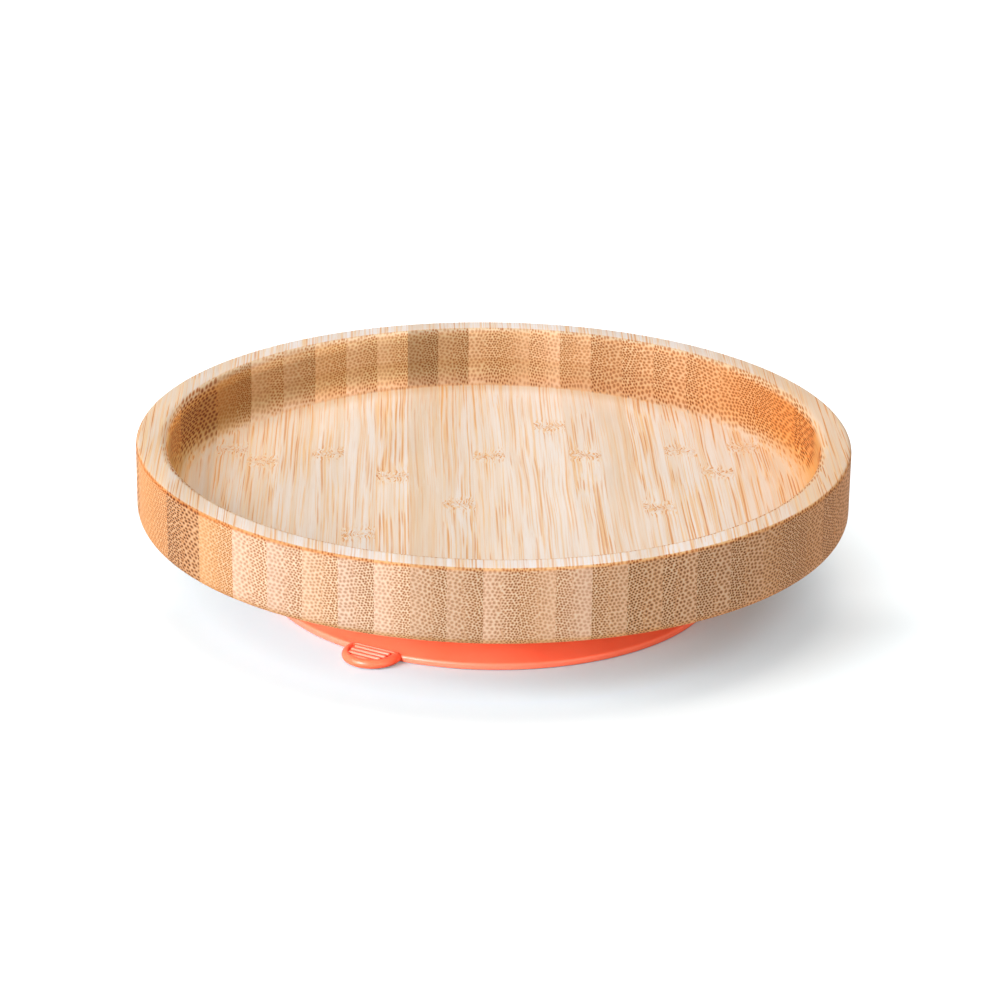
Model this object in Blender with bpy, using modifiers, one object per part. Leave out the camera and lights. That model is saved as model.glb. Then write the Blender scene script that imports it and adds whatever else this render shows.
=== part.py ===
"""Suction bowl: a shallow bowl turned from laminated bamboo, on a removable silicone
suction cup with a pull tab.

Metres, +Z up. The origin is the centre of the resting plane. The front is -Y, and the
bamboo's grain runs front to back, turned slightly about Z.
"""

from math import cos, pi, radians, sin

import bmesh
import bpy
import numpy as np

# Bowl
BOWL_RADIUS = 0.0900
RIM_TOP = 0.0396
UNDERSIDE = 0.0199
FLOOR_TOP = 0.0257
CAVITY_RADIUS = 0.0820
RIM_OUTER_EDGE = 0.0010
RIM_INNER_EDGE = 0.0026
COVE = 0.0070
BOTTOM_EDGE = 0.0035
FOOT_RADIUS = 0.0310
FOOT_BOTTOM = 0.0105
FOOT_EDGE = 0.0008

# Lamination: upright strips side by side; seams are numbered from the one at SEAM_OFFSET
STRIP_WIDTH = 0.0083555
FIRST_SEAM = -11
LAST_SEAM = 10
SEAM_OFFSET = 0.0036
GRAIN_TURN = 0.0312  # radians
GLUE_LINE = 0.00004
CUT_TOLERANCE = 1e-7
# Strip tones from -X to +X, repeated across the bowl
TONES = (
    "honey", "honey", "tan", "honey", "pale", "honey",
    "pale", "pale", "tan", "tan", "pale", "pale",
)

# Silicone cup: collar and pocket round the foot, above a hollow chamber
FIT = 0.0003
COLLAR_OUTER = 0.0366
COLLAR_TOP = UNDERSIDE - FIT
COLLAR_EDGE = 0.0010
POCKET_RADIUS = FOOT_RADIUS + FIT
POCKET_FLOOR = FOOT_BOTTOM - FIT
POCKET_CHAMFER = 0.0005
CHAMBER_ROOF = 0.0080
CHAMBER_START_IN = 0.0006  # start of the roof curve, inward from the cup's lower edge
CHAMBER_START_UP = 0.0002  # and up from it
# The other control points of the roof curve: (radius, height)
CHAMBER_CURVE = ((0.0440, 0.0062), (0.0330, CHAMBER_ROOF), (0.0240, CHAMBER_ROOF))

# Skirt, split at FLEX_RADIUS between the cup and the lip ring
FLEX_RADIUS = 0.0500
SKIRT_THICKNESS = 0.0018
LIP_RADIUS = 0.0580
LIP_HEIGHT = 0.00195
LIP_EDGE = 0.0008
LIP_EDGE_CENTRE = LIP_RADIUS - 0.0009
LIP_SIDE_BOTTOM = 0.0009
LIP_UNDERCUT = (LIP_RADIUS - 0.00015, 0.0004)  # (radius, height)
SEAL_INNER = 0.0530
SEAL_OUTER = 0.0574
SEAL_CHAMFER = 0.0012
# Upper face, from the foot of the collar to the top of the lip: (radius, height)
SKIRT_TOP = (
    (COLLAR_OUTER, 0.0140),
    (0.0372, 0.0092),
    (0.0430, 0.0072),
    (LIP_RADIUS - 0.0010, LIP_HEIGHT),
)
SKIRT_STEPS = 14
SKIRT_SAMPLES = 64
SPLIT_CLEARANCE = 0.0005  # curve points this close to the split are left out

# Pull tab: places are distances from the cup's axis
TAB_AZIMUTH = radians(-119.2)
HINGE_RADIUS = 0.0582
TAB_ROOT = 0.05835
TAB_CENTRE = 0.0591
TAB_RADIUS = 0.0074
TAB_THICKNESS = 0.0024
TAB_LIFT = 0.0001
TAB_EDGE = 0.0007
TAB_BORDER = 0.0017
TAB_RECESS = 0.0004
CUT_OVERSHOOT = 0.001
FIRST_RIB = 0.0590
RIB_PITCH = 0.0018
RIB_WIDTH = 0.00085
RIB_HEIGHT = TAB_RECESS + 0.0005  # reaches below the recess, into the tab
RIB_HALF_LENGTHS = (0.0050, 0.0049, 0.0045, 0.0029)

TURN_STEPS = 72
MERGE_DISTANCE = 0.00001
SMOOTH_ANGLE = radians(35)


# ------------------------------------------------------------ scene and materials
for old in list(bpy.data.objects):
    bpy.data.objects.remove(old, do_unlink=True)

parts = bpy.data.collections.new("suction_bowl")
helpers = bpy.data.collections.new("cutters")
for collection in (parts, helpers):
    bpy.context.scene.collection.children.link(collection)


def material(name, colour, roughness):
    made = bpy.data.materials.new(name)
    made.use_nodes = True
    shader = made.node_tree.nodes["Principled BSDF"]
    shader.inputs["Base Color"].default_value = (*colour, 1.0)
    shader.inputs["Roughness"].default_value = roughness
    shader.inputs["Metallic"].default_value = 0.0
    made.diffuse_color = (*colour, 1.0)
    return made


BAMBOO = {
    "pale": material("bamboo_pale", colour=(0.83, 0.62, 0.40), roughness=0.55),
    "honey": material("bamboo_honey", colour=(0.80, 0.52, 0.28), roughness=0.55),
    "tan": material("bamboo_tan", colour=(0.66, 0.42, 0.22), roughness=0.55),
}
SILICONE = material("silicone_coral", colour=(0.95, 0.17, 0.07), roughness=0.42)


# ---------------------------------------------------------------- shared helpers
def arc(centre_radius, centre_height, size, start, end, steps):
    """Points on a circle in the (radius, height) plane, both end angles included."""
    angles = [start + (end - start) * i / steps for i in range(steps + 1)]
    return [(centre_radius + size * cos(a), centre_height + size * sin(a)) for a in angles]


def bezier(*controls, steps):
    """Points on a cubic curve with four control points, both ends included."""
    points = []
    for i in range(steps + 1):
        t = i / steps
        weights = ((1 - t) ** 3, 3 * t * (1 - t) ** 2, 3 * t * t * (1 - t), t**3)
        points.append(
            tuple(sum(w * point[axis] for w, point in zip(weights, controls)) for axis in (0, 1))
        )
    return points


def turned(name, outline, closed=False):
    """An outline of (radius, height) points swept round Z with a Screw modifier."""
    edges = [(i, i + 1) for i in range(len(outline) - 1)]
    if closed:
        edges.append((len(outline) - 1, 0))
    mesh = bpy.data.meshes.new(name)
    mesh.from_pydata([(radius, 0.0, height) for radius, height in outline], edges, [])
    piece = bpy.data.objects.new(name, mesh)
    screw = piece.modifiers.new("turn", "SCREW")
    screw.steps = screw.render_steps = TURN_STEPS
    screw.use_merge_vertices = True
    screw.merge_threshold = MERGE_DISTANCE
    return piece


def object_from(shape, name):
    """A new object holding the bmesh, which is freed."""
    mesh = bpy.data.meshes.new(name)
    shape.to_mesh(mesh)
    shape.free()
    return bpy.data.objects.new(name, mesh)


def finish(piece, surface):
    """Shade the piece smooth between sharp edges, give it its material and link it."""
    piece.data.shade_smooth()
    piece.data.set_sharp_from_angle(angle=SMOOTH_ANGLE)
    piece.data.materials.append(surface)
    parts.objects.link(piece)


def link_helper(piece):
    helpers.objects.link(piece)
    piece.hide_render = True
    piece.display_type = "WIRE"


def add_frame(name, location, turn):
    """An empty turned about Z that carries other pieces."""
    frame = bpy.data.objects.new(name, None)
    frame.location = location
    frame.rotation_euler = (0.0, 0.0, turn)
    parts.objects.link(frame)
    return frame


# ------------------------------------------------------------------- bamboo bowl
def turn_blank():
    """The whole bowl in one piece, as a mesh to cut the strips from."""
    outline = [
        (0.0, FLOOR_TOP),
        *arc(CAVITY_RADIUS - COVE, FLOOR_TOP + COVE, COVE, -pi / 2, 0.0, steps=5),
        *arc(CAVITY_RADIUS + RIM_INNER_EDGE, RIM_TOP - RIM_INNER_EDGE, RIM_INNER_EDGE,
             pi, pi / 2, steps=3),
        *arc(BOWL_RADIUS - RIM_OUTER_EDGE, RIM_TOP - RIM_OUTER_EDGE, RIM_OUTER_EDGE,
             pi / 2, 0.0, steps=2),
        *arc(BOWL_RADIUS - BOTTOM_EDGE, UNDERSIDE + BOTTOM_EDGE, BOTTOM_EDGE,
             0.0, -pi / 2, steps=4),
        (FOOT_RADIUS, UNDERSIDE),
        (FOOT_RADIUS, FOOT_BOTTOM + FOOT_EDGE),
        (FOOT_RADIUS - FOOT_EDGE, FOOT_BOTTOM),
        (0.0, FOOT_BOTTOM),
    ]
    blank = turned("bowl_blank", outline)
    link_helper(blank)
    bpy.context.view_layer.update()
    depsgraph = bpy.context.evaluated_depsgraph_get()
    return bpy.data.meshes.new_from_object(blank.evaluated_get(depsgraph))


def strip_between(name, blank_mesh, low, high):
    """The slab of the blank between two upright planes, closed at both cuts.

    None for a plane leaves that side whole. The origin is midway between the sides.
    """
    shape = bmesh.new()
    shape.from_mesh(blank_mesh)
    for place, keep_above in ((low, True), (high, False)):
        if place is None:
            continue
        bmesh.ops.bisect_plane(
            shape,
            geom=shape.verts[:] + shape.edges[:] + shape.faces[:],
            dist=CUT_TOLERANCE,
            plane_co=(place, 0.0, 0.0),
            plane_no=(1.0, 0.0, 0.0),
            clear_inner=keep_above,
            clear_outer=not keep_above,
        )
        open_edges = [edge for edge in shape.edges if edge.is_boundary]
        bmesh.ops.holes_fill(shape, edges=open_edges, sides=0)
    bmesh.ops.recalc_face_normals(shape, faces=shape.faces[:])
    left = -BOWL_RADIUS if low is None else low
    right = BOWL_RADIUS if high is None else high
    middle = (left + right) / 2
    bmesh.ops.translate(shape, verts=shape.verts[:], vec=(-middle, 0.0, 0.0))
    strip = object_from(shape, name)
    strip.location = (middle, 0.0, 0.0)
    return strip


def build_bowl():
    blank_mesh = turn_blank()
    frame = add_frame("bowl_frame", location=(0.0, 0.0, 0.0), turn=GRAIN_TURN)
    seams = [SEAM_OFFSET + k * STRIP_WIDTH for k in range(FIRST_SEAM, LAST_SEAM + 1)]
    lows = [None, *(seam + GLUE_LINE / 2 for seam in seams)]
    highs = [*(seam - GLUE_LINE / 2 for seam in seams), None]
    for index, (low, high) in enumerate(zip(lows, highs)):
        strip = strip_between(f"bamboo_strip_{index + 1:02d}", blank_mesh, low, high)
        strip.parent = frame
        finish(strip, BAMBOO[TONES[index % len(TONES)]])
    bpy.data.meshes.remove(blank_mesh)


# ----------------------------------------------------------------- silicone base
def height_on_skirt(radius):
    radii, heights = zip(*bezier(*SKIRT_TOP, steps=SKIRT_SAMPLES))
    return float(np.interp(radius, radii, heights))


def build_cup():
    """Pocket, collar, inner skirt and chamber roof."""
    edge_top = height_on_skirt(FLEX_RADIUS)
    edge_bottom = edge_top - SKIRT_THICKNESS
    skirt = bezier(*SKIRT_TOP, steps=SKIRT_STEPS)
    outline = [
        (0.0, POCKET_FLOOR),
        (POCKET_RADIUS, POCKET_FLOOR),
        (POCKET_RADIUS, COLLAR_TOP - POCKET_CHAMFER),
        (POCKET_RADIUS + POCKET_CHAMFER, COLLAR_TOP),
        *arc(COLLAR_OUTER - COLLAR_EDGE, COLLAR_TOP - COLLAR_EDGE, COLLAR_EDGE,
             pi / 2, 0.0, steps=3),
        *(point for point in skirt if point[0] < FLEX_RADIUS - SPLIT_CLEARANCE),
        (FLEX_RADIUS, edge_top),
        (FLEX_RADIUS, edge_bottom),
        *bezier((FLEX_RADIUS - CHAMBER_START_IN, edge_bottom + CHAMBER_START_UP),
                *CHAMBER_CURVE, steps=5),
        (0.0, CHAMBER_ROOF),
    ]
    finish(turned("suction_cup", outline), SILICONE)


def build_lip():
    """The ring on the table: outer skirt, rounded lip and flat sealing band."""
    inner = FLEX_RADIUS + FIT
    inner_top = height_on_skirt(inner)
    skirt = bezier(*SKIRT_TOP, steps=SKIRT_STEPS)
    outline = [
        (inner, inner_top),
        *(point for point in skirt if point[0] > inner + SPLIT_CLEARANCE),
        *arc(LIP_EDGE_CENTRE, LIP_HEIGHT - LIP_EDGE, LIP_EDGE, radians(75), radians(8), steps=3),
        (LIP_RADIUS, LIP_SIDE_BOTTOM),
        LIP_UNDERCUT,
        (SEAL_OUTER, 0.0),
        (SEAL_INNER, 0.0),
        (SEAL_INNER - SEAL_CHAMFER, SEAL_CHAMFER),
        (inner, inner_top - SKIRT_THICKNESS),
    ]
    finish(turned("suction_lip", outline, closed=True), SILICONE)


# ---------------------------------------------------------------------- pull tab
# Modelled along +X from the hinge axis, with Z = 0 at the tab's top face.
def d_plate(name, inset, root, bottom, top, steps):
    """A D-shaped plate: straight at the root, a half circle at the outer end."""
    radius = TAB_RADIUS - inset
    centre = TAB_CENTRE - HINGE_RADIUS
    root_x = root - HINGE_RADIUS
    angles = [-pi / 2 + pi * i / steps for i in range(steps + 1)]
    outline = [(centre + radius * cos(a), radius * sin(a)) for a in angles]
    outline += [(root_x, radius), (root_x, -radius)]
    shape = bmesh.new()
    face = shape.faces.new([shape.verts.new((x, y, bottom)) for x, y in outline])
    pushed = bmesh.ops.extrude_face_region(shape, geom=[face])
    moved = [item for item in pushed["geom"] if isinstance(item, bmesh.types.BMVert)]
    bmesh.ops.translate(shape, verts=moved, vec=(0.0, 0.0, top - bottom))
    bmesh.ops.recalc_face_normals(shape, faces=shape.faces[:])
    return object_from(shape, name)


def rib_block(name, distance, half_length):
    """A bar across the tab, its top flush with the tab's."""
    shape = bmesh.new()
    bmesh.ops.create_cube(shape, size=1.0)
    size = (RIB_WIDTH, 2 * half_length, RIB_HEIGHT)
    bmesh.ops.scale(shape, vec=size, verts=shape.verts[:])
    rib = object_from(shape, name)
    rib.location = (distance - HINGE_RADIUS, 0.0, -RIB_HEIGHT / 2)
    return rib


def add_boolean(target, name, operation, helper):
    """Apply a helper, carried by the target's frame, to the target."""
    link_helper(helper)
    helper.parent = target.parent
    boolean = target.modifiers.new(name, "BOOLEAN")
    boolean.operation = operation
    boolean.object = helper


def build_tab():
    hinge = (HINGE_RADIUS * cos(TAB_AZIMUTH), HINGE_RADIUS * sin(TAB_AZIMUTH), TAB_THICKNESS)
    tab = d_plate("pull_tab", inset=0.0, root=TAB_ROOT,
                  bottom=-TAB_THICKNESS + TAB_LIFT, top=0.0, steps=20)
    tab.parent = add_frame("tab_hinge", location=hinge, turn=TAB_AZIMUTH)
    bevel = tab.modifiers.new("soft_edge", "BEVEL")
    bevel.width = TAB_EDGE
    bevel.segments = 2
    bevel.limit_method = "ANGLE"
    bevel.angle_limit = radians(50)

    # The sunk field runs out at the root and has a border round the half circle.
    recess = d_plate("tab_recess", inset=TAB_BORDER, root=TAB_ROOT - CUT_OVERSHOOT,
                     bottom=-TAB_RECESS, top=CUT_OVERSHOOT, steps=16)
    add_boolean(tab, "recess", "DIFFERENCE", recess)
    for index, half_length in enumerate(RIB_HALF_LENGTHS):
        distance = FIRST_RIB + index * RIB_PITCH
        rib = rib_block(f"tab_rib_{index + 1}", distance, half_length)
        add_boolean(tab, f"rib_{index + 1}", "UNION", rib)
    finish(tab, SILICONE)


build_bowl()
build_cup()
build_lip()
build_tab()
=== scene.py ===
"""Looks for the suction bowl: laminated bamboo bowl, coral silicone suction base with its
pull tab, plain white studio.

Metres, +Z up. The bowl's axis is Z and its base stands on z = 0. Front is -Y, left is -X.
The bamboo's grain runs front to back, turned a little about Z.
"""

from collections import namedtuple
from math import cos, exp, pi, radians, sin
from types import SimpleNamespace

import bmesh
import bpy
from mathutils import Matrix, Vector


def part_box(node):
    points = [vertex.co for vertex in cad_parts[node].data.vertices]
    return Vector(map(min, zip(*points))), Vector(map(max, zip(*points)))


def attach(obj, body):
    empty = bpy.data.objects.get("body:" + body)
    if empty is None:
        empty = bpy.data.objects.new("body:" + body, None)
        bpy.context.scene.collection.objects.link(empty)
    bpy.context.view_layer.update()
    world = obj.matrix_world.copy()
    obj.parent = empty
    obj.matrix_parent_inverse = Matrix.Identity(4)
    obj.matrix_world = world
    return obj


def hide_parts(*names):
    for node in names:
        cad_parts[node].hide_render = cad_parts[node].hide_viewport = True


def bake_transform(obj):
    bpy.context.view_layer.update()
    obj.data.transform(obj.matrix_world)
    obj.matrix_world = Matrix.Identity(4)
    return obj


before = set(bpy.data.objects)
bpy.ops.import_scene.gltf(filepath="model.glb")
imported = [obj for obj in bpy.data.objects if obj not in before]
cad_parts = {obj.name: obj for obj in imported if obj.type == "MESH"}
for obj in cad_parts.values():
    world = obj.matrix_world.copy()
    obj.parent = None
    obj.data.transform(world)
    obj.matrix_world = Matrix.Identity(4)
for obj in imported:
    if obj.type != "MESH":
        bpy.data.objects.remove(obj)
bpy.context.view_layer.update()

MM = 0.001
MERGE = 0.000002  # outline points closer than this are one

# ------------------------------------------------------------------ sizes
STRIPS = sorted(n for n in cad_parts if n.startswith("bamboo_strip_"))
STRIP_WIDTH = 8.3555  # mm
GRAIN_TURN = 0.0312  # the grain's turn about Z from straight front to back
ACROSS = Vector((cos(GRAIN_TURN), sin(GRAIN_TURN), 0.0))  # level, across the grain

middle_low, middle_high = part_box("bamboo_strip_12")
RIM_TOP = middle_high.z
FOOT_BOTTOM = middle_low.z
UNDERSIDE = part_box("bamboo_strip_05")[0].z
BOWL_RADIUS = 0.0900
FLOOR_TOP = 0.0257
CAVITY_RADIUS = 0.0820
RIM_OUTER_EDGE = 0.0010
RIM_INNER_EDGE = 0.0026
COVE = 0.0070
BOTTOM_EDGE = 0.0035
FOOT_RADIUS = 0.0310
FOOT_EDGE = 0.0008

LIP_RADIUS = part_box("suction_lip")[1].x
COLLAR_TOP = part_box("suction_cup")[1].z
COLLAR_RADIUS = 0.0366
COLLAR_INNER_EDGE = 0.0006
COLLAR_OUTER_EDGE = 0.0010
FIT = 0.0003  # gap between the bowl's foot and its pocket
HOLLOW_TOP = 0.0080

# The pull tab is built pointing along +X, then turned to its azimuth.
TAB_AZIMUTH = radians(-119.2)
TAB_INNER = 0.0573
TAB_CENTRE = 0.0591
TAB_RADIUS = 0.0074
TAB_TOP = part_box("pull_tab")[1].z
TAB_BOTTOM = 0.0002
TAB_CORNER = 0.0007
TAB_FIELD = TAB_TOP - 0.00042  # the sunk field inside the border
RIB_START = 0.0590
RIB_PITCH = 0.0018
RIB_END = 0.00045
RIB_HALF_LENGTHS = (0.0050, 0.0049, 0.0045, 0.0029)
# half width, height above the field
RIB_PROFILE = (
    (0.00050, -0.0001), (0.00047, 0.00012), (0.00040, 0.00030), (0.00026, 0.00042),
    (0.00008, 0.00047),
)


# ------------------------------------------------------------------ mesh helpers
def arc(centre_r, centre_z, radius, start, end, steps):
    angles = [start + (end - start) * i / steps for i in range(steps + 1)]
    return [(centre_r + radius * cos(a), centre_z + radius * sin(a)) for a in angles]


def bezier(p0, p1, p2, p3, steps):
    points = []
    for i in range(steps + 1):
        t = i / steps
        weights = ((1 - t) ** 3, 3 * t * (1 - t) ** 2, 3 * t * t * (1 - t), t**3)
        points.append(
            tuple(sum(w * p[axis] for w, p in zip(weights, (p0, p1, p2, p3))) for axis in (0, 1))
        )
    return points


def without_repeats(points):
    kept = [points[0]]
    for point in points[1:]:
        if max(abs(point[0] - kept[-1][0]), abs(point[1] - kept[-1][1])) > MERGE:
            kept.append(point)
    return kept


def link(obj):
    bpy.context.scene.collection.objects.link(obj)
    return obj


def turned_mesh(name, outline, steps):
    """An open outline of (radius, height) points swept round Z."""
    outline = without_repeats(outline)
    mesh = bpy.data.meshes.new(name)
    edges = [(i, i + 1) for i in range(len(outline) - 1)]
    mesh.from_pydata([(r, 0.0, z) for r, z in outline], edges, [])
    obj = link(bpy.data.objects.new(name, mesh))
    screw = obj.modifiers.new("turn", "SCREW")
    screw.steps = screw.render_steps = steps
    screw.use_merge_vertices = True
    screw.merge_threshold = MERGE
    bpy.context.view_layer.update()
    swept = bpy.data.meshes.new_from_object(
        obj.evaluated_get(bpy.context.evaluated_depsgraph_get())
    )
    bpy.data.objects.remove(obj)
    bpy.data.meshes.remove(mesh)
    swept.name = name
    return swept


def smooth_object(mesh, material, sharp_angle):
    mesh.shade_smooth()
    mesh.set_sharp_from_angle(angle=sharp_angle)
    mesh.materials.append(material)
    return link(bpy.data.objects.new(mesh.name, mesh))


def add_shell(bm, rings):
    """Rings of points joined by quads and capped at both ends."""
    loops = [[bm.verts.new(point) for point in ring] for ring in rings]
    for a, b in zip(loops, loops[1:]):
        for i in range(len(a)):
            j = (i + 1) % len(a)
            bm.faces.new((a[i], a[j], b[j], b[i]))
    bm.faces.new(list(reversed(loops[0])))
    bm.faces.new(loops[-1])


def linear(r, g, b):
    """A colour as seen on screen, 0 to 255, made linear."""
    return tuple(
        (c / 255) / 12.92 if c / 255 <= 0.04045 else ((c / 255 + 0.055) / 1.055) ** 2.4
        for c in (r, g, b)
    )


# ------------------------------------------------------------------ a small shader builder
class Value:
    """A shader output. Each sum or product of values makes one math node."""

    def __init__(self, graph, socket):
        self.graph = graph
        self.socket = socket

    def math(self, operation, *others):
        return self.graph.math(operation, self, *others)

    def __add__(self, other):
        return self.math("ADD", other)

    def __radd__(self, other):
        return self.graph.math("ADD", other, self)

    def __sub__(self, other):
        return self.math("SUBTRACT", other)

    def __rsub__(self, other):
        return self.graph.math("SUBTRACT", other, self)

    def __mul__(self, other):
        return self.math("MULTIPLY", other)

    def __truediv__(self, other):
        return self.math("DIVIDE", other)

    def __abs__(self):
        return self.math("ABSOLUTE")

    def scaled(self, factor, plus):
        return self.math("MULTIPLY_ADD", factor, plus)

    def at_least(self, other):
        return self.math("MAXIMUM", other)

    def at_most(self, other):
        return self.math("MINIMUM", other)

    def ramp(self, start, end, low=0.0, high=1.0):
        """A smooth change from low, where this value is start, to high, where it is end."""
        made = self.graph.node("ShaderNodeMapRange", interpolation_type="SMOOTHSTEP")
        self.graph.put(made.inputs["Value"], self)
        made.inputs["From Min"].default_value = start
        made.inputs["From Max"].default_value = end
        made.inputs["To Min"].default_value = low
        made.inputs["To Max"].default_value = high
        return Value(self.graph, made.outputs["Result"])


def length(a, b):
    return (a * a + b * b).math("SQRT")


class Graph:
    def __init__(self, name, seed=None):
        self.seed = seed
        self.material = bpy.data.materials.new(name)
        self.material.use_nodes = True
        self.tree = self.material.node_tree
        self.tree.nodes.clear()

    def node(self, kind, **settings):
        made = self.tree.nodes.new(kind)
        for key, value in settings.items():
            setattr(made, key, value)
        return made

    def put(self, socket, value):
        if isinstance(value, Value):
            value = value.socket
        if isinstance(value, bpy.types.NodeSocket):
            self.tree.links.new(value, socket)
        elif isinstance(value, tuple) and len(value) == 3 and socket.type == "RGBA":
            socket.default_value = (*value, 1.0)
        else:
            socket.default_value = value

    def filled(self, made, values, first=0):
        for i, value in enumerate(values, first):
            self.put(made.inputs[i], value)
        return made

    def math(self, operation, *values):
        made = self.filled(self.node("ShaderNodeMath", operation=operation), values)
        return Value(self, made.outputs[0])

    def xyz(self, *values):
        made = self.filled(self.node("ShaderNodeCombineXYZ"), values)
        return Value(self, made.outputs[0])

    def split(self, vector):
        made = self.filled(self.node("ShaderNodeSeparateXYZ"), [vector])
        return [Value(self, made.outputs[i]) for i in range(3)]

    def rgb(self, colour):
        made = self.filled(self.node("ShaderNodeSeparateColor"), [colour])
        return [Value(self, made.outputs[i]) for i in range(3)]

    def position_and_normal(self):
        """The point in mm, and its normal, each as three values."""
        where = self.node("ShaderNodeTexCoord")
        point = [c * 1000.0 for c in self.split(where.outputs["Object"])]
        return point, self.split(where.outputs["Normal"])

    def drawn_out(self, point, stretch, order):
        """A point scaled by stretch and shifted by the seed's axes, taken in the given order."""
        parts = zip(point, stretch, order)
        return self.xyz(*(c.scaled(factor, self.seed[axis]) for c, factor, axis in parts))

    def noise_node(self, vector, scale=1.0, detail=2.0, roughness=0.5):
        made = self.node("ShaderNodeTexNoise", noise_dimensions="3D")
        self.put(made.inputs["Vector"], vector)
        made.inputs["Scale"].default_value = scale
        made.inputs["Detail"].default_value = detail
        made.inputs["Roughness"].default_value = roughness
        return made

    def noise(self, vector, **settings):
        return Value(self, self.noise_node(vector, **settings).outputs[0])

    def noises(self, vector, **settings):
        """Three noises, from the channels of one texture."""
        return self.rgb(self.noise_node(vector, **settings).outputs[1])

    def mix(self, factor, a, b, blend="MIX"):
        made = self.node("ShaderNodeMix", data_type="RGBA", blend_type=blend)
        self.put(made.inputs[0], factor)
        self.filled(made, (a, b), first=6)
        return Value(self, made.outputs[2])

    def mix_numbers(self, factor, a, b):
        made = self.node("ShaderNodeMix", data_type="FLOAT")
        self.put(made.inputs[0], factor)
        self.filled(made, (a, b), first=2)
        return Value(self, made.outputs[0])

    def multiply(self, colour, by):
        return self.mix(1.0, colour, by, "MULTIPLY")

    def tint(self, amount, colour, by):
        return self.mix(amount, colour, self.multiply(colour, by))

    def finish(self, colour, roughness, height, bump_strength, bump_distance, **sockets):
        shader = self.node("ShaderNodeBsdfPrincipled")
        self.put(shader.inputs["Base Color"], colour)
        self.put(shader.inputs["Roughness"], roughness)
        for key, value in sockets.items():
            self.put(shader.inputs[key.replace("_", " ")], value)
        made = self.node("ShaderNodeBump")
        made.inputs["Strength"].default_value = bump_strength
        made.inputs["Distance"].default_value = bump_distance
        self.put(made.inputs["Height"], height)
        self.put(shader.inputs["Normal"], made.outputs[0])
        return self.output(shader)

    def output(self, shader):
        self.filled(self.node("ShaderNodeOutputMaterial"), [shader.outputs[0]])
        return self.material


# ------------------------------------------------------------------ bamboo
# Sawn bamboo seen across the grain is a field of dark bundles in a pale network; seen along the
# grain the same bundles are streaks. One solid pattern, run through each strip along its grain,
# gives both, and the cove and the eased edges between them.

WIDE, TIGHT = 1.14, 0.64  # bundle spacing in mm on the open and the dense side of a strip
ENDS = (-45.0, 45.0)  # mm along the grain, front and back, between which a strip changes
FADING_FROM = 15  # from this strip on, the bundles are darker at the front end
BRIGHTNESS = 1.0

# dense_right: the culm's dense outer side is on the right
# tone, back: how light the end grain is, and how many times lighter it is painted at its back end,
# which is painted light and shade on the back of the inside
# warmth: how warm the end grain is
# joint: where along the grain the culm joint lies, mm from the middle, or None
# contrast, lines: how strongly the bundles show across the grain, and along it
# tan, coarse: how tan the wood is, and how coarse its bundles are
Look = namedtuple("Look", "dense_right tone back warmth joint contrast lines tan coarse")
LOOKS = {
    1: Look(True, 0.98, 1.0, 1.5, None, 0.5, 1.6, 1.2, 0.80),
    2: Look(True, 0.97, 1.0, 1.7, None, 0.40, 1.6, 1.2, 0.72),
    3: Look(False, 0.80, 0.86, 1.4, None, 2.3, 1.0, 0.8, 0.96),
    4: Look(True, 0.97, 0.74, 1.5, 25.5, 0.55, 1.0, 0.7, 0.80),
    5: Look(True, 1.05, 0.95, -0.5, 16.7, 0.60, 0.9, 0.6, 1.00),
    6: Look(True, 0.99, 0.97, -0.5, None, 0.75, 0.8, 0.35, 1.00),
    7: Look(True, 0.99, 1.12, 0.1, 22.0, 0.85, 0.8, 0.5, 0.92),
    8: Look(True, 0.98, 1.13, -0.5, -34.0, 1.0, 0.6, 0.1, 0.96),
    9: Look(True, 1.05, 1.08, -0.4, 6.1, 0.75, 0.9, 0.3, 0.96),
    10: Look(True, 0.88, 0.76, 0.1, None, 1.1, 0.4, 0.8, 0.94),
    11: Look(True, 0.89, 0.89, 0.1, -13.5, 1.0, 0.9, 0.3, 0.98),
    12: Look(True, 1.02, 0.98, -0.2, 20.8, 1.0, 0.8, 0.35, 1.00),
    13: Look(False, 1.02, 0.94, 0.2, None, 0.8, 0.6, 0.2, 0.95),
    14: Look(False, 1.05, 1.02, -0.3, 43.6, 0.8, 0.6, 0.0, 1.00),
    15: Look(False, 0.96, 0.97, 0.4, 21.7, 1.2, 0.8, 0.3, 0.95),
    16: Look(False, 0.90, 0.95, 0.8, None, 1.7, 0.4, 0.6, 1.00),
    17: Look(False, 0.95, 1.0, 0.5, -16.0, 1.8, 0.9, 0.3, 0.98),
    18: Look(False, 0.91, 1.06, 0.4, 25.5, 1.8, 1.0, 0.3, 0.98),
    19: Look(False, 0.90, 1.06, 0.7, 9.4, 1.8, 1.0, 0.4, 0.96),
    20: Look(True, 0.88, 1.06, 1.1, 27.2, 1.7, 0.9, 0.5, 0.88),
    21: Look(False, 0.88, 1.06, 1.2, None, 1.6, 1.5, 1.1, 0.80),
    22: Look(False, 0.88, 1.0, 1.4, None, 1.5, 1.6, 1.2, 0.80),
    23: Look(False, 0.90, 1.0, 1.8, None, 0.8, 1.6, 1.2, 0.80),
}


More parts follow.
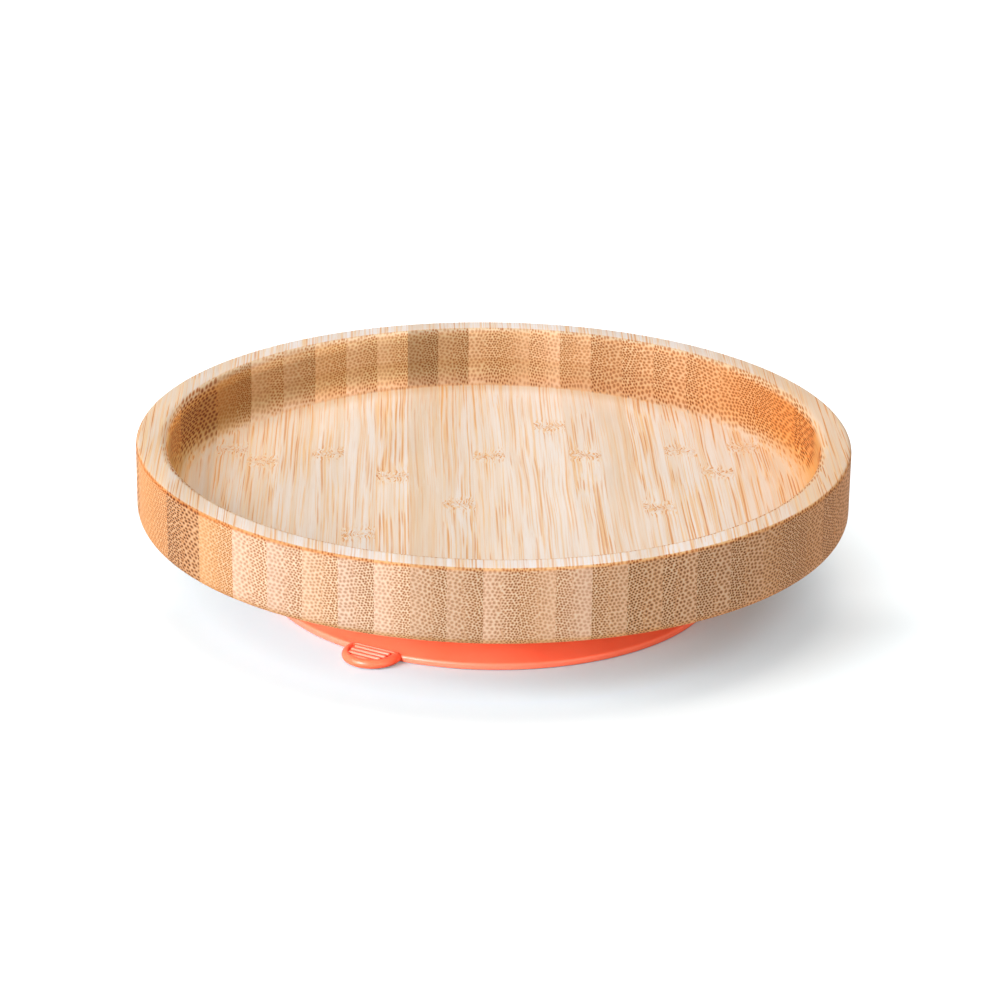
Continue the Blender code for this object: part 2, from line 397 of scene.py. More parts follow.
def surface_point(g):
    """Where the shaded point lies (mm) and which part of the bowl it is on (each 0 to 1)."""
    (x, y, z), (nx, ny, nz) = g.position_and_normal()
    at = SimpleNamespace(x=x, y=y, z=z, nx=nx, nz=nz)
    c, s = cos(GRAIN_TURN), sin(GRAIN_TURN)
    u = x.scaled(c, y * s)
    at.v = y.scaled(c, x * -s)
    at.wood = (u, at.v, z)  # across the grain, along it, up
    at.facing = abs(ny.scaled(c, nx * -s))  # 1 on end grain
    at.upright = length(nx, ny)  # 1 on a vertical wall
    at.inward = nx.scaled(x, ny * y).ramp(-4.0, -30.0)
    at.above = z.ramp(32.0, 34.0)
    rim_edge = nz.ramp(0.05, 0.30) * (1.0 - at.inward)
    # the outer rim edge's orange: partly the slant cut, and painted stronger on the left as painted
    # light
    at.edge_glow = rim_edge * x.ramp(5.0, -55.0, low=0.40)
    at.out = length(x, y)
    at.endwise = (abs(y) / at.out.at_least(1.0)).ramp(0.35, 0.95)  # 1 at the front and back
    at.sloped = at.upright.ramp(0.90, 0.40)
    at.eased = at.sloped * at.above.at_least(at.inward * (1.0 - at.endwise) * 0.6)
    return at


def add_fibres(g, at, look, lean):
    """Fibres wander slowly, lie a little off the strip's axis, and knot at a culm joint."""
    u, v, z = at.wood
    drift = g.noises(g.drawn_out(at.wood, (0.05, 0.022, 0.05), "xyz"), detail=1.0)
    across = u + (drift[0] - 0.5).scaled(1.5, v * lean[0])
    up = z + (drift[1] - 0.5).scaled(1.5, v * lean[1])
    at.drift = drift[2]
    if look.joint is not None:
        seed = g.seed
        bent = g.xyz(u.scaled(0.30, seed["y"]), seed["z"], z.scaled(0.3, seed["x"]))
        off = v - (g.noise(bent, detail=1.0) - 0.5).scaled(5.0, look.joint)

        def bell(width):
            return (off * off * -1.0 * (1 / width**2)).math("EXPONENT")

        at.near, at.core = bell(3.6), bell(1.6)
        knot = g.noises(g.drawn_out(at.wood, (0.42, 0.30, 0.4), "zxy"), detail=1.0)
        curl = g.noises(g.drawn_out(at.wood, (0.30, 0.55, 0.4), "xzy"), detail=1.0)
        across = across + at.near * ((knot[0] - 0.5) * 3.4)
        across = across + at.core * ((curl[0] - 0.5) * 3.0)
        up = up + at.near * ((knot[1] - 0.5) * 3.4)
    at.fibre = (across, v, up)


def add_bundles(g, at, look, low, high):
    """Distance from the nearest fibre bundle (reach), its tint, and how dense the wood is."""
    across, _, up = at.fibre
    # 0 on the open side of the strip, 1 on its dense, outer-culm side
    place = (across - low) / (high - low)
    if not look.dense_right:
        place = 1.0 - place
    place = place.at_least(-0.15).at_most(1.15)
    spacing = place.scaled(TIGHT - WIDE, WIDE)
    column = (spacing / WIDE).math("LOGARITHM", exp(1)) * ((high - low) / (TIGHT - WIDE))
    turn = radians(16 * sin(g.seed["x"]))
    shiver = g.noises(g.drawn_out(at.wood, (0.42, 0.02, 0.42), "yxz"), detail=1.0)

    def bundles(row_height, stretch, shift):
        """Fibre bundles packed like a honeycomb."""
        row = up.scaled(1 / row_height, shift) + (shiver[0] - 0.5) * 0.7
        col = column.scaled(stretch, shift) + (shiver[1] - 0.5) * 0.7
        a = col.scaled(cos(turn), row * sin(turn))
        b = row.scaled(cos(turn), col * -sin(turn))
        # a square lattice of cells, sheared into a triangular one and measured back
        a, b = b.scaled(-0.57735, a), b * 1.1547
        cells = g.node("ShaderNodeTexVoronoi", voronoi_dimensions="2D", feature="F1")
        g.put(cells.inputs["Vector"], g.xyz(a, b, 0.0))
        cells.inputs["Scale"].default_value = 1.0
        cells.inputs["Randomness"].default_value = 0.36
        centre = g.split(cells.outputs["Position"])
        off_a, off_b = centre[0] - a, centre[1] - b
        reach = length(off_b.scaled(0.5, off_a), off_b * 0.86603)
        return reach, g.rgb(cells.outputs["Color"])[0]

    stretch = 0.93 / look.coarse
    open_reach, open_tint = bundles(1.08 * look.coarse, stretch, shift=3.7)
    tight_reach, tight_tint = bundles(0.76 * look.coarse, stretch, shift=11.3)
    side = (place + (at.drift - 0.5) * 0.25).ramp(0.46, 0.60)
    at.reach = g.mix_numbers(side, open_reach, tight_reach)
    at.tint = g.mix_numbers(side, open_tint, tight_tint)
    at.dense = place.ramp(0.05, 1.0)


def end_grain(g, at, look, number):
    """The colour across the grain, and how strongly the dark pores show."""
    warmth, contrast = look.warmth, look.contrast
    base_open = linear(243 + 3 * warmth, 200 - 7 * warmth, 169 - 22 * warmth)
    base_tight = linear(226 + 6 * warmth, 176 - 3 * warmth, 134 - 16 * warmth)
    ground = g.mix(at.dense, base_open, base_tight)
    # cut at a slant, on the eased edges, the ground turns pale and the bundles orange: partly the
    # slant cut, partly painted light where the edges catch light from above
    ground = g.mix(at.eased * 0.8, ground, linear(240, 214, 176))
    ring = at.reach.ramp(0.44, 0.30) * at.dense.scaled(0.25, 0.40 * contrast)
    end = g.mix(ring, ground, linear(212, 146, 96))
    pore = at.reach.ramp(0.31, 0.13) * at.dense.scaled(0.62, 0.34 * contrast)
    heart = at.reach.ramp(0.12, 0.03) * at.dense.scaled(-0.45, 0.50)
    if number >= FADING_FROM:
        pore = pore * at.v.ramp(*ENDS, low=1.0, high=0.74)
    pore = (pore * at.tint.scaled(0.35, 0.82) * (1.0 - heart)).at_most(1.0)
    depth = min(max((contrast - 0.7) / 0.8, 0.0), 1.0)
    outer_hole = linear(140 - 52 * depth, 72 - 24 * depth, 40 - 13 * depth)
    # inside the bowl the pores are painted in different colours on the left and right walls:
    # painted light and shade
    inner_left = linear(166 - 26 * depth, 92 - 20 * depth, 47 - 10 * depth)
    inner_right = linear(134 - 20 * depth, 76 - 14 * depth, 39 - 6 * depth)
    inner_hole = g.mix(at.x.ramp(-55.0, 15.0), inner_left, inner_right)
    hole = g.mix(at.inward, outer_hole, inner_hole)
    hole = g.mix(at.eased, hole, linear(190, 112, 60))
    end = g.mix(pore, end, hole)
    web = at.reach.ramp(0.43, 0.58) * (at.dense.scaled(0.40, 0.34) * at.sloped.scaled(-0.6, 1.0))
    return g.mix(web, end, linear(253, 234, 210)), pore


def long_grain(g, at, look):
    """The colour along the grain, its streaks and its finest hairs."""
    broad = g.noise(g.drawn_out(at.fibre, (0.50, 0.010, 0.50), "zxy"))
    thread = g.noise(g.drawn_out(at.fibre, (0.9, 0.028, 0.9), "xyz"))
    thin = g.noise(g.drawn_out(at.fibre, (2.3, 0.010, 1.0), "zyx"), detail=1.0)
    hair = g.noise(g.drawn_out(at.fibre, (6.0, 0.07, 6.0), "yzx"))
    body = (look.tan + (broad - 0.5) * 2.2).at_least(0.0).at_most(1.0)
    along = g.mix(body, linear(245, 232, 221), linear(238, 210, 180))
    lined = thread.ramp(0.34, 0.58) * look.lines
    if look.joint is not None:
        lined = at.near.scaled(0.8, lined).at_most(1.0)
    line = thin.ramp(0.55, 0.575) * ((lined + 0.20).at_most(1.0) * 0.85)
    along = g.mix(line, along, linear(243, 194, 140))
    edge = at.reach.ramp(0.40, 0.30) * (lined * 0.60)
    along = g.mix(edge, along, linear(247, 210, 160))
    streak = at.reach.ramp(0.26, 0.17) * (lined * 0.90)
    along = g.mix(streak, along, g.mix(at.tint, linear(236, 168, 106), linear(214, 138, 84)))
    along = g.mix(hair.ramp(0.54, 0.74) * 0.26, along, linear(228, 182, 136))
    along = g.mix(hair.ramp(0.46, 0.28) * 0.30, along, linear(248, 240, 230))
    return along, streak, hair


def join_grains(g, at, end, along):
    """End grain where the surface cuts the fibres, long grain where it follows them."""
    # A turned edge, cut at a slant to the fibres, is straw-coloured inside and below, and orange
    # round the outside of the rim. Much of these tints is painted light and shade: the cove is
    # painted paler and cooler, most on the left, the rounded bottom edge an olive shade, and the
    # rim's orange stronger on the left.
    cove_sides = g.mix(at.x.ramp(20.0, -30.0), (0.98, 1.06, 1.14), (1.07, 1.17, 1.26))
    # mixed the other way round: the first colour is for the sides, the second for the ends
    cove = g.mix(at.endwise, (1.02, 1.13, 1.25), cove_sides)
    inner = g.mix(at.above, cove, (0.98, 0.94, 0.86))
    slant = g.mix(at.inward, (0.97, 0.88, 0.66), inner)
    slant = g.mix(at.edge_glow, slant, (0.94, 0.68, 0.42))
    cross = g.mix(at.upright.ramp(0.80, 0.98), g.multiply(end, slant), end)
    inner_cut = g.mix_numbers(at.above, at.facing.ramp(0.10, 0.30), at.facing.ramp(0.05, 0.16))
    flat_cut = g.mix_numbers(at.inward, at.facing.ramp(0.06, 0.24), inner_cut)
    wall_cut = at.facing.ramp(0.01, 0.09)
    cut = g.mix_numbers(at.upright.ramp(0.60, 0.96), flat_cut, wall_cut)
    return g.mix(cut, along, cross)


def wall_tint_and_painted_light(g, at, colour):
    """A wall that swings round towards the grain is warmer, most of all inside the bowl, and is
    painted lighter or darker by side as painted light and shade.
    """
    rim_ends = at.upright.ramp(0.72, 0.99), at.upright.ramp(0.50, 0.92)
    inner_rim = g.mix_numbers(at.endwise, *rim_ends)
    inner = g.mix_numbers(at.above, at.upright.ramp(0.15, 0.95), inner_rim)
    wall = g.mix_numbers(at.inward, at.upright.ramp(0.60, 0.96), inner)
    swung = at.facing.ramp(0.95, 0.25)
    # painted light and shade: outside, the end grain is painted lighter on the left; inside, the
    # left wall is painted a shaded olive and the right wall a lit orange
    outer_end = g.mix(at.x.ramp(30.0, -45.0), (0.88, 0.915, 0.92), (0.935, 1.0, 1.03))
    outside = g.mix(swung, outer_end, (0.87, 0.74, 0.59))
    on_left = at.nx.ramp(-0.2, 0.3)  # inside, the left wall faces right
    inner_end = g.mix(on_left, (0.93, 0.90, 0.76), (0.84, 0.84, 0.64))
    inner_side = g.mix(on_left, (0.94, 0.60, 0.265), (0.78, 0.60, 0.27))
    inside = g.mix(swung, inner_end, inner_side)
    return g.tint(wall, colour, g.mix(at.inward, outside, inside))


def place_tints(g, at, look, colour):
    """Tints of single places on the bowl, most of them painted light and shade; the specks at a
    culm joint are the wood's own.
    """
    # painted shade: the floor is painted darker and olive where it meets the wall, most at the
    # front and back
    corner = at.out.ramp(69.0, 77.0) * at.nz.ramp(0.02, 0.30) * (1.0 - at.above)
    corner = corner * at.endwise.scaled(0.85, 0.15)
    colour = g.tint(corner, colour, (0.86, 0.77, 0.64))
    # the outer rim edge is painted orange, partly the slant cut, and stronger on the left as
    # painted light
    orange = at.edge_glow * at.upright.ramp(0.25, 0.60) * 0.38
    colour = g.tint(orange, colour, (0.95, 0.66, 0.38))
    if look.joint is not None:
        speck = g.noise(g.drawn_out(at.wood, (1.2, 0.8, 1.2), "xyz"))
        colour = g.mix(at.core * speck.ramp(0.40, 0.62) * 0.30, colour, linear(210, 144, 90))
    colour = wall_tint_and_painted_light(g, at, colour)
    # painted light: the rim's top is painted paler and cooler, except on the right
    rim_top = at.nz.ramp(0.80, 0.97) * at.above
    painted_rim_light = g.mix(at.x.ramp(35.0, 75.0), (1.0, 1.05, 1.15), (1.0, 0.98, 0.99))
    colour = g.tint(rim_top, colour, painted_rim_light)
    # painted light: the outer part of the floor on the left, towards the back, is painted lighter
    # where the left wall shades it
    painted_floor_light = (at.x * -0.87 + at.y * 0.5).ramp(42.0, 74.0) * at.z.ramp(29.5, 26.5)
    painted_floor_light = painted_floor_light * at.nz.ramp(0.5, 0.9)
    colour = g.tint(painted_floor_light, colour, (1.14, 1.11, 1.06))
    # painted highlight on the rim's inner edge on the left
    left_edge = at.x.ramp(-20.0, -60.0) * at.nz.ramp(0.75, 0.4)
    painted_crest_highlight = at.inward * at.z.ramp(35.8, 37.4) * left_edge
    return g.tint(painted_crest_highlight, colour, (1.30, 1.34, 1.40))


def bamboo(number, low, high):
    """The wood of one strip, which reaches from low to high (mm) across the grain."""
    look = LOOKS[number]
    seed = {"x": number * 7.31 % 50, "y": number * 13.77 % 50, "z": number * 3.19 % 50}
    lean = (0.004 * sin(number * 2.1), 0.010 * sin(number * 1.3 + 0.6))
    g = Graph(f"bamboo_{number:02d}", seed)
    at = surface_point(g)
    add_fibres(g, at, look, lean)
    add_bundles(g, at, look, low, high)
    end, pore = end_grain(g, at, look, number)
    along, streak, hair = long_grain(g, at, look)
    colour = place_tints(g, at, look, join_grains(g, at, end, along))

    mottle = g.noise(g.drawn_out(at.wood, (0.10, 0.03, 0.12), "xzy"))
    level = (mottle - 0.5).scaled(0.16, 1.0) * BRIGHTNESS
    # the end grain is painted lighter or darker at its back end, by look.back: painted light and
    # shade on the back of the inside
    end_tone = at.v.ramp(*ENDS, low=look.tone, high=look.tone * look.back)
    long_tone = 1.0 + (look.tone - 1.0) * 0.35
    level = level * g.mix_numbers(at.facing.ramp(0.1, 0.4), long_tone, end_tone)
    colour = g.multiply(colour, g.xyz(level, level, level))

    rough = pore.scaled(0.15, at.facing.ramp(0.1, 0.4).scaled(0.08, 0.50))
    height = hair * 0.25 - pore * at.facing.ramp(0.1, 0.4) - streak * 0.3
    return g.finish(
        colour, rough, height, bump_strength=0.35, bump_distance=0.00006, Specular_IOR_Level=0.35
    )


# ------------------------------------------------------------------ the bowl
def bowl_outline():
    """From the middle of the floor, over the rim and down to the middle of the foot."""
    return (
        [(0.0, FLOOR_TOP), (0.030, FLOOR_TOP), (0.060, FLOOR_TOP)]
        + arc(CAVITY_RADIUS - COVE, FLOOR_TOP + COVE, COVE, -pi / 2, 0.0, 16)
        + [
            (CAVITY_RADIUS, FLOOR_TOP + COVE + 0.001),
            (CAVITY_RADIUS, RIM_TOP - RIM_INNER_EDGE - 0.002),
        ]
        + arc(
            CAVITY_RADIUS + RIM_INNER_EDGE, RIM_TOP - RIM_INNER_EDGE, RIM_INNER_EDGE, pi, pi / 2, 9
        )
        + arc(
            BOWL_RADIUS - RIM_OUTER_EDGE, RIM_TOP - RIM_OUTER_EDGE, RIM_OUTER_EDGE, pi / 2, 0.0, 6
        )
        + [(BOWL_RADIUS, (RIM_TOP + UNDERSIDE) / 2)]
        + arc(BOWL_RADIUS - BOTTOM_EDGE, UNDERSIDE + BOTTOM_EDGE, BOTTOM_EDGE, 0.0, -pi / 2, 10)
        + [(0.0600, UNDERSIDE), (FOOT_RADIUS, UNDERSIDE), (FOOT_RADIUS, FOOT_BOTTOM + FOOT_EDGE)]
        + arc(FOOT_RADIUS - FOOT_EDGE, FOOT_BOTTOM + FOOT_EDGE, FOOT_EDGE, 0.0, -pi / 2, 4)
        + [(0.015, FOOT_BOTTOM), (0.0, FOOT_BOTTOM)]
    )


def span_across(node):
    """How far a strip reaches across the grain, in mm."""
    reach = [ACROSS.dot(v.co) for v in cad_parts[node].data.vertices]
    return min(reach) / MM, max(reach) / MM


def trim(bm, place, keep_right):
    """Cut along the grain at a place (mm) and drop one side."""
    bmesh.ops.bisect_plane(
        bm,
        geom=bm.verts[:] + bm.edges[:] + bm.faces[:],
        dist=1e-8,
        plane_co=ACROSS * (place * MM),
        plane_no=ACROSS,
        clear_inner=keep_right,
        clear_outer=not keep_right,
    )


def cut_strips():
    """The turned bowl, finely meshed, cut from left to right into the same strips as the CAD's."""
    whole = turned_mesh("bowl_turned", bowl_outline(), 288)
    rest = bmesh.new()
    rest.from_mesh(whole)
    bpy.data.meshes.remove(whole)
    spans = [span_across(node) for node in STRIPS]
    seams = [(a[1] + b[0]) / 2 for a, b in zip(spans, spans[1:])]
    for node, low, high in zip(STRIPS, [spans[0][0]] + seams, seams + [spans[-1][1]]):
        number = int(node[-2:])
        piece = rest.copy()
        for place, keep_right in ((low, True), (high, False)):
            if abs(place) > 89.5:  # the bowl's own side, not a seam
                continue
            trim(piece, place, keep_right)
            if not keep_right:
                trim(rest, place, True)
            bmesh.ops.holes_fill(piece, edges=[e for e in piece.edges if e.is_boundary], sides=0)
        bmesh.ops.recalc_face_normals(piece, faces=piece.faces[:])
        mesh = bpy.data.meshes.new(f"strip_{number:02d}_wood")
        piece.to_mesh(mesh)
        piece.free()
        # the pattern's own strip is a full width wide, also on the narrow outermost strips
        if number == 1:
            low = high - STRIP_WIDTH
        if number == len(STRIPS):
            high = low + STRIP_WIDTH
        obj = smooth_object(mesh, bamboo(number, low, high), radians(35))
        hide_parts(node)
        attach(obj, "bowl")
    rest.free()


# ------------------------------------------------------------------ silicone
def tab_painted_shade_and_highlight(g, colour, point, normal):
    """The sunk field is painted a deeper colour, a painted shade, and the tops of its ribs paler, a
    painted highlight.
    """
    x, y, z = point
    from_x = x - cos(TAB_AZIMUTH) * TAB_CENTRE / MM
    from_y = y - sin(TAB_AZIMUTH) * TAB_CENTRE / MM
    inner = length(from_x, from_y).ramp(5.75, 5.45) * normal[2].ramp(-0.30, -0.05)
    colour = g.mix(inner * 0.5, colour, linear(248, 84, 50))
    return g.mix(z.ramp(2.10, 2.36) * inner * 0.65, colour, linear(255, 156, 136))


def lip_painted_highlight(g, colour, point, normal):
    """The lip's outer face is painted paler: a painted highlight."""
    painted_lip_mask = length(normal[0], normal[1]).ramp(0.50, 0.90) * point[2].ramp(4.0, 2.4)
    return g.mix(painted_lip_mask * 0.6, colour, linear(255, 140, 118))


def silicone(name, accents):
    g = Graph(name)
    point, normal = g.position_and_normal()
    vector = g.xyz(*point)
    cloud = g.noise(vector, scale=0.06, detail=2.0)
    grain = g.noise(vector, scale=6.0, detail=3.0, roughness=0.6)
    dust = g.noise(vector, scale=2.2, detail=1.0)
    colour = g.mix(cloud.ramp(0.3, 0.7), linear(251, 107, 75), linear(253, 117, 85))
    colour = accents(g, colour, point, normal)
    colour = g.mix(dust.ramp(0.70, 0.80) * 0.15, colour, linear(255, 170, 150))
    return g.finish(
        colour,
        grain.scaled(0.10, 0.34),
        grain,
        bump_strength=0.12,
        bump_distance=0.00002,
        Subsurface_Weight=0.25,
        Subsurface_Radius=(1.0, 0.35, 0.2),
        Subsurface_Scale=0.0015,
        Specular_IOR_Level=0.5,
        Sheen_Weight=0.06,
    )


def base_outline():
    """Pocket, collar, skirt, lip, sealing band and suction hollow, from axis to axis."""
    pocket = FOOT_BOTTOM - FIT
    inner = FOOT_RADIUS + FIT
    inner_edge, outer_edge = COLLAR_INNER_EDGE, COLLAR_OUTER_EDGE
    skirt_foot = (COLLAR_RADIUS, 0.0140)
    lip_top = (LIP_RADIUS - 0.0010, 0.00195)
    shoulder = (0.0440, 0.0058)  # in the hollow
    return (
        [(0.0, pocket), (0.012, pocket), (0.024, pocket), (inner, pocket)]
        + [(inner, pocket + 0.003), (inner, COLLAR_TOP - inner_edge)]
        + arc(inner + inner_edge, COLLAR_TOP - inner_edge, inner_edge, pi, pi / 2, 4)
        + arc(COLLAR_RADIUS - outer_edge, COLLAR_TOP - outer_edge, outer_edge, pi / 2, 0.0, 5)
        + [(COLLAR_RADIUS, 0.0165)]
        + bezier(skirt_foot, (0.0372, 0.0092), (0.0430, 0.0072), lip_top, 40)
        + arc(LIP_RADIUS - 0.0008, 0.0011, 0.00085, radians(80), radians(10), 6)[1:]
        + [(LIP_RADIUS, 0.00095)]
        + arc(LIP_RADIUS - 0.0006, 0.0006, 0.0006, 0.0, -pi / 2, 5)
        + [(0.0530, 0.0)]
        + bezier((0.0526, 0.00015), (0.0512, 0.0021), (0.0490, 0.0035), shoulder, 12)
        + bezier(shoulder, (0.0390, 0.0077), (0.0330, 0.0080), (0.0240, HOLLOW_TOP), 10)[1:]
        # a shallow ring below the middle
        + [(0.0122, HOLLOW_TOP), (0.0118, 0.0077), (0.0112, 0.0077), (0.0108, HOLLOW_TOP)]
        + [(0.0, HOLLOW_TOP)]
    )


def make_base(finish):
    mesh = turned_mesh("suction_base_skin", base_outline(), 256)
    bm = bmesh.new()
    bm.from_mesh(mesh)
    bmesh.ops.recalc_face_normals(bm, faces=bm.faces[:])
    bm.to_mesh(mesh)
    bm.free()
    obj = smooth_object(mesh, finish, radians(50))
    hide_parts("suction_lip", "suction_cup")
    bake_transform(obj)
    return obj


def d_ring(inset, height, root_inset, turns=40, corner=6):
    """A D: a half circle outside, straight sides and rounded corners at the root."""
    radius = TAB_RADIUS - inset
    side = radius - TAB_CORNER
    root = TAB_INNER + root_inset
    points = arc(TAB_CENTRE, 0.0, radius, -pi / 2, pi / 2, turns)
    points += arc(root + TAB_CORNER, side, TAB_CORNER, pi / 2, pi, corner)
    points += [(root, side * (1 - i / 4)) for i in range(1, 8)]
    points += arc(root + TAB_CORNER, -side, TAB_CORNER, pi, 3 * pi / 2, corner)
    return [(x, y, height) for x, y in points]


def rib_ring(middle, half_length, width, height):
    """A long slot shape, straight across the tab, with round ends."""
    ring = []
    for end, start in ((1, 0), (-1, pi)):
        for i in range(9):
            a = start + pi * i / 8
            y = end * (half_length - RIB_END) + width * sin(a)
            ring.append((middle + width * cos(a), y, height))
    return ring


def make_tab(finish):
    bm = bmesh.new()
    low = TAB_BOTTOM
    thick = TAB_TOP - low
    # inset, height, inset at the root: from the middle of the underside, round the outer edge
    # and over the border, into the sunk field
    rings = [
        (0.0016, low, 0.0012),
        (0.0009, low, 0.0007),
        (0.00045, low + 0.00012, 0.0004),
        (0.00015, low + 0.00040, 0.0002),
        (0.0, low + thick * 0.42, 0.0),
        (0.00005, low + thick * 0.58, 0.0),
        (0.00022, low + thick * 0.76, 0.0),
        (0.00050, low + thick * 0.90, 0.00008),
        (0.00085, low + thick * 0.975, 0.00022),
        (0.00118, TAB_TOP, 0.00040),
        (0.00140, TAB_TOP - 0.00003, 0.00050),
        (0.00158, TAB_TOP - 0.00012, 0.00062),
        (0.00170, TAB_TOP - 0.00030, 0.00072),
        (0.00184, TAB_TOP - 0.00040, 0.00086),
        (0.0022, TAB_FIELD, 0.0012),
    ]
    add_shell(bm, [d_ring(*ring) for ring in rings])
    for number, half in enumerate(RIB_HALF_LENGTHS):
        middle = RIB_START + number * RIB_PITCH
        add_shell(bm, [rib_ring(middle, half, w, TAB_FIELD + rise) for w, rise in RIB_PROFILE])
    bmesh.ops.recalc_face_normals(bm, faces=bm.faces[:])
    turn = Matrix.Rotation(TAB_AZIMUTH, 3, "Z")
    bmesh.ops.rotate(bm, verts=bm.verts[:], cent=(0, 0, 0), matrix=turn)
    mesh = bpy.data.meshes.new("pull_tab_skin")
    bm.to_mesh(mesh)
    bm.free()
    obj = smooth_object(mesh, finish, radians(50))
    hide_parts("pull_tab")
    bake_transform(obj)
    return obj


# ------------------------------------------------------------------ studio
WORLD = 0.27  # the world's strength as a light
FLOOR_SHIFT = 1.0  # how far behind the bowl the floor's middle lies
GLOW_FOOT, GLOW_AWAY, GLOW_FAR = 0.12, 0.27, 1.0  # the floor's own light, by distance
# the table's colour to the camera is a little cyan, and bluish close to the bowl, painted to cancel
# the orange light bounced off the bowl
FLOOR_SEEN = (0.635, 0.672, 0.682)
FLOOR_NEAR = (0.61, 0.82, 0.94)  # close to the bowl
FLOOR_BOUNCE = (0.43, 0.38, 0.33)  # as the other pieces see it
WHITE = (1.0, 1.0, 1.0)
# name, place, aim, size, power, colour, what it lights
LAMPS = (
    ("key_front_left", (-1.13, -0.84, 0.73), (0, 0, 0.02), 1.20, 21.6, (1, 0.985, 0.97), "object"),
    ("top_soft", (0.06, 0.05, 0.60), (0, 0, 0.02), 0.60, 1.75, (1, 0.985, 0.96), "object"),
    ("table_dome", (0, 0, 1), (0, 0, 0), 2.4, 35.0, WHITE, "floor"),
    ("table_front", (-0.83, -0.63, 0.36), (0, 0, 0), 0.72, 21.0, WHITE, "floor"),
    ("fill_right", (0.75, -0.60, 0.22), (0, 0, 0.02), 0.40, 0.7, (1, 0.88, 0.70), "object"),
    ("base_fill", (-0.56, -0.62, 0.33), (0, -0.05, 0.004), 0.22, 10.5, WHITE, "silicone"),
    ("base_right", (0.55, -0.70, 0.20), (0.02, -0.04, 0.004), 0.22, 2.9, (1, 0.5, 0.3), "silicone"),
)
SENSOR_WIDTH = 36.0
FOCAL_RATIO = 3.44178  # focal length over sensor width
CAMERA_PLACE = Vector((0.0, -0.81594628, 0.33953))
CAMERA_RIGHT = Vector((0.99991107, 0.00290544, 0.0130156))
CAMERA_ABOVE = Vector((-0.01318224, 0.3630848, 0.93166285))
CAMERA_AHEAD = Vector((0.00201887, 0.93175157, -0.36309081))


def floor_material():
    """A white table that glows away from the bowl, so it stays white round the soft shadow."""
    g = Graph("studio_white")
    where = g.node("ShaderNodeTexCoord").outputs["Object"]
    x, y, _ = g.split(where)
    y = y + FLOOR_SHIFT
    away = length(x, y)
    glow = away.ramp(0.08, 0.26, low=GLOW_FOOT, high=GLOW_AWAY)
    # close to the bowl the glow is stronger, except on the right
    glow = glow + x.ramp(0.065, 0.035) * away.ramp(0.090, 0.070) * 0.065
    glow = g.mix_numbers(away.ramp(0.30, 0.90), glow, GLOW_FAR)
    # painted shadow: the table is painted darker at the front right, so the wide shadow stretches
    # further there
    stretch = x.ramp(0.02, 0.05, low=0.75) * y.ramp(-0.004, -0.032) * away.ramp(0.075, 0.086)
    stretch = stretch * away.ramp(0.135, 0.105)
    table = g.mix(away.ramp(0.096, 0.062), FLOOR_SEEN, FLOOR_NEAR)
    table = g.tint(stretch, table, (0.80, 0.80, 0.80))
    table = g.tint(g.noise(where, scale=1.2, detail=1.0), table, (0.99, 0.99, 0.99))
    seen = g.filled(g.node("ShaderNodeBsdfDiffuse"), [table])
    lit = g.filled(g.node("ShaderNodeEmission"), [WHITE, glow])
    both = g.filled(g.node("ShaderNodeAddShader"), [seen.outputs[0], lit.outputs[0]])
    bounce = g.filled(g.node("ShaderNodeBsdfDiffuse"), [FLOOR_BOUNCE])
    by_camera = g.node("ShaderNodeLightPath").outputs["Is Camera Ray"]
    choice = [by_camera, bounce.outputs[0], both.outputs[0]]
    return g.output(g.filled(g.node("ShaderNodeMixShader"), choice))


def make_floor():
    ground = bpy.data.meshes.new("studio_floor")
    bm = bmesh.new()
    bmesh.ops.create_grid(bm, x_segments=8, y_segments=8, size=4.0)
    bm.to_mesh(ground)
    bm.free()
    plane = link(bpy.data.objects.new("studio_floor", ground))
    plane.location = (0.0, FLOOR_SHIFT, -0.0001)
    ground.materials.append(floor_material())
    return plane


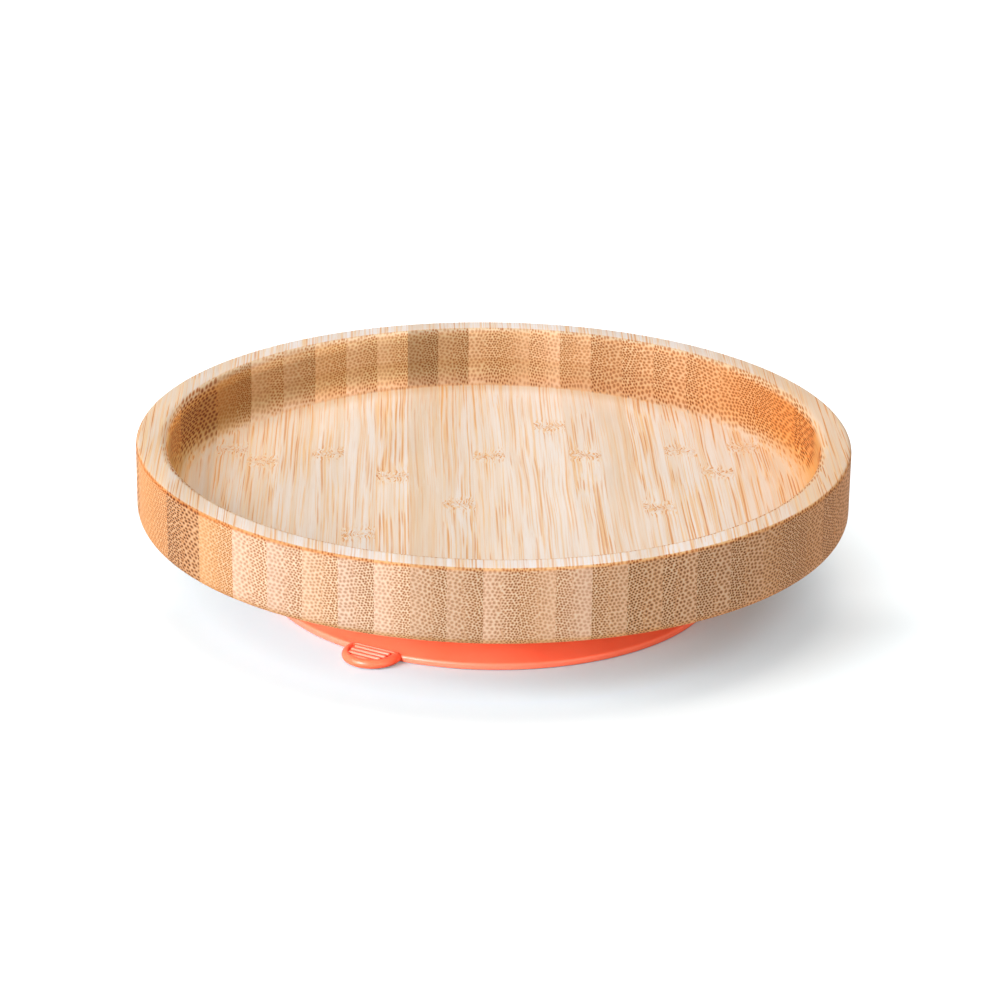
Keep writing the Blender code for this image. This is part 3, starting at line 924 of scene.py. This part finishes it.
def set_world(scene):
    """White to the camera, dimmer as a light."""
    if scene.world is None:
        scene.world = bpy.data.worlds.new("studio")
    world = scene.world
    world.use_nodes = True
    nodes, links = world.node_tree.nodes, world.node_tree.links
    back = nodes.get("Background") or nodes.new("ShaderNodeBackground")
    back.inputs[0].default_value = (1.0, 1.0, 1.0, 1.0)
    path = nodes.new("ShaderNodeLightPath")
    level = nodes.new("ShaderNodeMapRange")
    level.inputs["To Min"].default_value = WORLD
    level.inputs["To Max"].default_value = 1.0
    links.new(path.outputs["Is Camera Ray"], level.inputs["Value"])
    links.new(level.outputs["Result"], back.inputs[1])


def add_lamps(receivers):
    for name, place, aim, size, power, colour, kind in LAMPS:
        data = bpy.data.lights.new(name, "AREA")
        data.shape = "DISK"
        data.size = size
        data.energy = power
        data.color = colour
        lamp = link(bpy.data.objects.new(name, data))
        lamp.location = place
        lamp.rotation_euler = (Vector(aim) - Vector(place)).to_track_quat("-Z", "Y").to_euler()
        group = bpy.data.collections.new(name + "_receivers")
        for obj in receivers[kind]:
            group.objects.link(obj)
        lamp.light_linking.receiver_collection = group


def add_camera(scene):
    camera = bpy.data.cameras.new("camera")
    camera.sensor_width = SENSOR_WIDTH
    camera.sensor_fit = "HORIZONTAL"
    camera.lens = FOCAL_RATIO * SENSOR_WIDTH
    camera.clip_start = 0.05
    camera.clip_end = 20.0
    eye = link(bpy.data.objects.new("camera", camera))
    axes = Matrix((CAMERA_RIGHT, CAMERA_ABOVE, -CAMERA_AHEAD)).transposed()
    eye.matrix_world = Matrix.Translation(CAMERA_PLACE) @ axes.to_4x4()
    scene.camera = eye


def studio(silicone_pieces):
    scene = bpy.context.scene
    plane = make_floor()
    set_world(scene)
    meshes = [o for o in scene.objects if o.type == "MESH" and not o.hide_render]
    things = [o for o in meshes if o != plane]
    add_lamps({"object": things, "floor": [plane], "silicone": silicone_pieces})
    add_camera(scene)
    scene.view_settings.view_transform = "Standard"
    scene.view_settings.look = "None"


cut_strips()
base = make_base(silicone("coral_base", lip_painted_highlight))
tab = make_tab(silicone("coral_tab", tab_painted_shade_and_highlight))
studio([base, tab])
